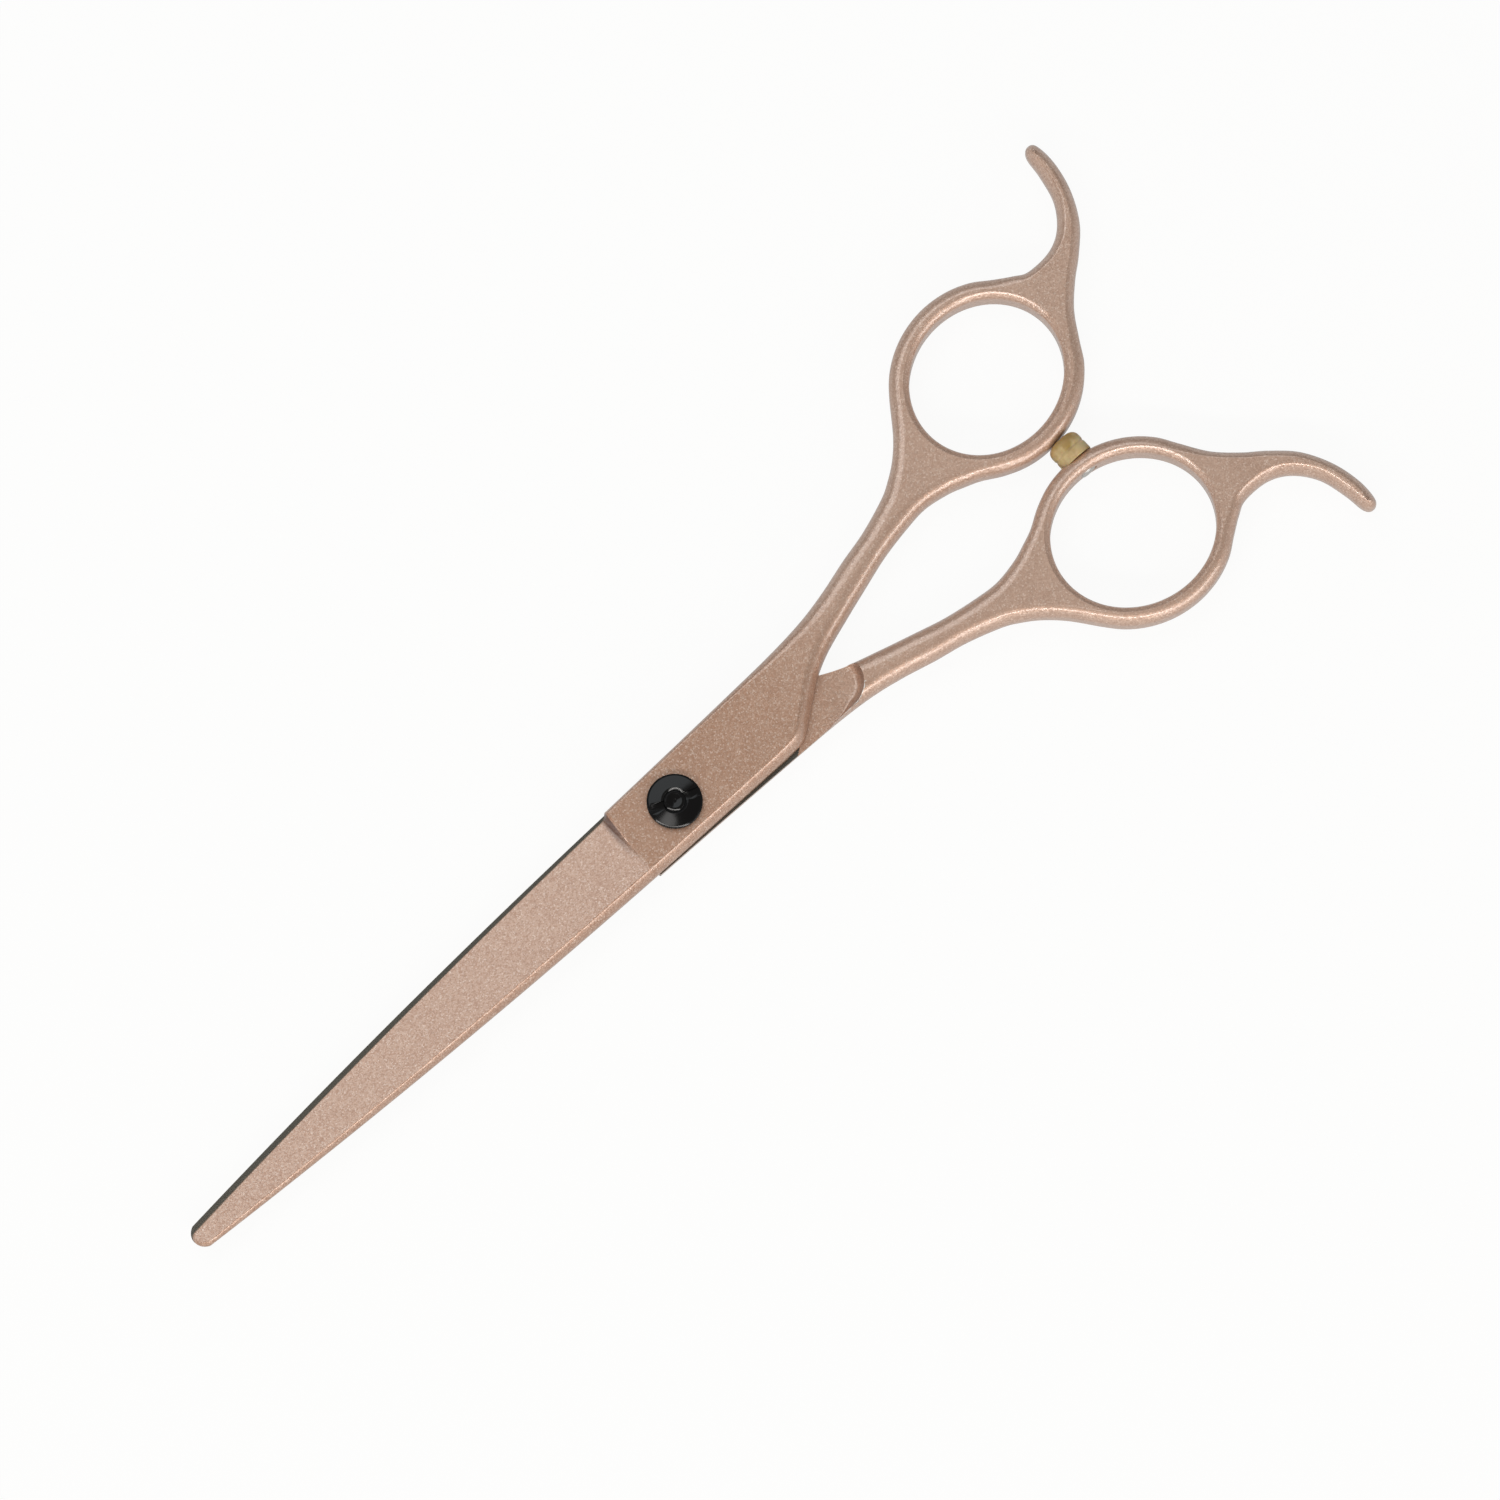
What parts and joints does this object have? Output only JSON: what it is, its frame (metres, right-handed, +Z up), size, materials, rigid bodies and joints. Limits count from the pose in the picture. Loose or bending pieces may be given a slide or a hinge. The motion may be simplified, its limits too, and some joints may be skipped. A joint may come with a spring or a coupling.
{
  "type": "hair cutting shears",
  "caption": "Hair cutting shears with slim straight blades, oval finger rings with curved finger rests, an adjustable pivot nut and a rubber bumper between the rings.",
  "frame": {"origin": "on the pivot's axis, on the plane of the back half's outer face that the shears lie on", "axes": "+X from the pivot towards the finger rings, +Y towards the front half's ring, +Z up along the pivot, out of the tension nut"},
  "size_m": [0.1916, 0.0704, 0.0063],
  "materials": {
    "rose_metal": "satin metallic rose gold coat over forged steel, with the ground inner faces left bare",
    "black_steel": "gloss black",
    "bronze": "plain turned",
    "nylon": "smooth",
    "spring_steel": "bright",
    "amber_rubber": "smooth translucent amber",
    "bright_steel": "bright turned"
  },
  "bodies": {
    "back": {"back_half": "rose_metal", "pivot_stud": "black_steel", "bumper": "amber_rubber", "bumper_stud": "bright_steel"},
    "front": {"front_half": "rose_metal", "pivot_bush": "bronze", "friction_washer": "nylon"},
    "nut": {"tension_nut": "black_steel", "spring_washer": "spring_steel"}
  },
  "joints": [
    {"name": "pivot", "type": "hinge", "parent": "back", "child": "front", "pos_m": [0, 0, 0.00255], "axis": [0, 0, 1], "range_deg": [0, 150]},
    {"name": "tension_adjust", "type": "hinge", "parent": "back", "child": "nut", "pos_m": [0, 0, 0.0055], "axis": [0, 0, 1], "range_deg": [-90, 90]}
  ]
}
